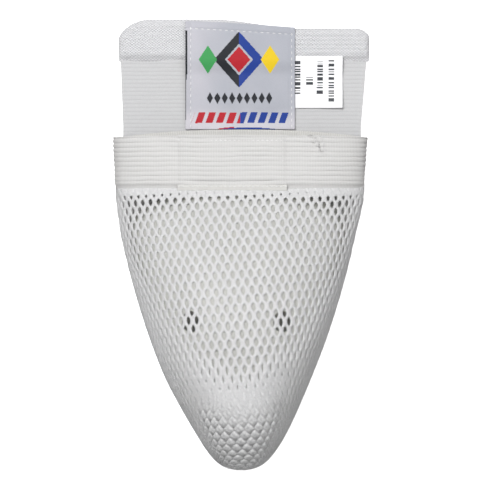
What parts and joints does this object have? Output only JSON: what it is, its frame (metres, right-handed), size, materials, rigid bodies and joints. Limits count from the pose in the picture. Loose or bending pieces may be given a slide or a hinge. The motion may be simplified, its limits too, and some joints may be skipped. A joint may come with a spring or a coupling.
{
  "type": "groin protector",
  "caption": "Groin protector: a hard vented cup in a mesh pouch, on a wide folded elastic waist belt with a woven label, with elastic leg straps behind.",
  "frame": {"origin": "middle of the outline, on the surface the protector lies on", "axes": "+Z out of the front of the protector, away from the surface it lies on; +Y from the tip of the pouch towards the waist; +X to the right of someone looking down at its front"},
  "size_m": [0.1278, 0.2249, 0.054],
  "materials": {
    "ribbed_elastic": "white ribbed woven elastic",
    "mesh_cloth": "white open air-mesh knit",
    "lining_knit": "white plain knit",
    "pile_cloth": "soft white looped pile",
    "hem_tape": "white woven tape",
    "label_satin": "pale grey woven satin",
    "tag_card": "bright white coated tag",
    "cup_plastic": "off-white hard plastic",
    "cushion_rubber": "soft white rubber bead"
  },
  "bodies": {
    "pouch": {"pouch_mesh": "mesh_cloth", "pouch_lining": "lining_knit", "pouch_edge_binding": "hem_tape", "mesh_hem_tape": "hem_tape", "front_band": "ribbed_elastic", "front_band_patch": "ribbed_elastic", "front_belt": "ribbed_elastic", "belt_fold_left": "ribbed_elastic", "belt_fold_right": "ribbed_elastic", "rear_belt_lower": "ribbed_elastic", "strap_anchor_tab": "hem_tape"},
    "rear_belt": {"rear_belt": "ribbed_elastic", "rear_belt_binding": "pile_cloth", "woven_label": "label_satin", "size_tag": "tag_card"},
    "cup": {"cup_shell": "cup_plastic", "cup_edge_cushion": "cushion_rubber"},
    "leg_strap_left": {"leg_strap_left": "ribbed_elastic"},
    "leg_strap_right": {"leg_strap_right": "ribbed_elastic"}
  },
  "joints": [
    {"name": "cup_slide", "type": "slide", "parent": "pouch", "child": "cup", "axis": [0, 1, 0], "range_m": [0, 0.176], "deforming": ["pouch_mesh", "front_band", "front_band_patch", "mesh_hem_tape"]},
    {"name": "rear_belt_fold", "type": "hinge", "parent": "pouch", "child": "rear_belt", "pos_m": [0, 0.059, 0.0028], "axis": [1, 0, 0], "range_deg": [0, 90]},
    {"name": "leg_strap_left_swing", "type": "hinge", "parent": "pouch", "child": "leg_strap_left", "pos_m": [-0.0139, -0.09, 0], "axis": [0, 0, 1], "range_deg": [0, 45]},
    {"name": "leg_strap_right_swing", "type": "hinge", "parent": "pouch", "child": "leg_strap_right", "pos_m": [0.0101, -0.09, 0], "axis": [0, 0, -1], "range_deg": [0, 45]}
  ]
}
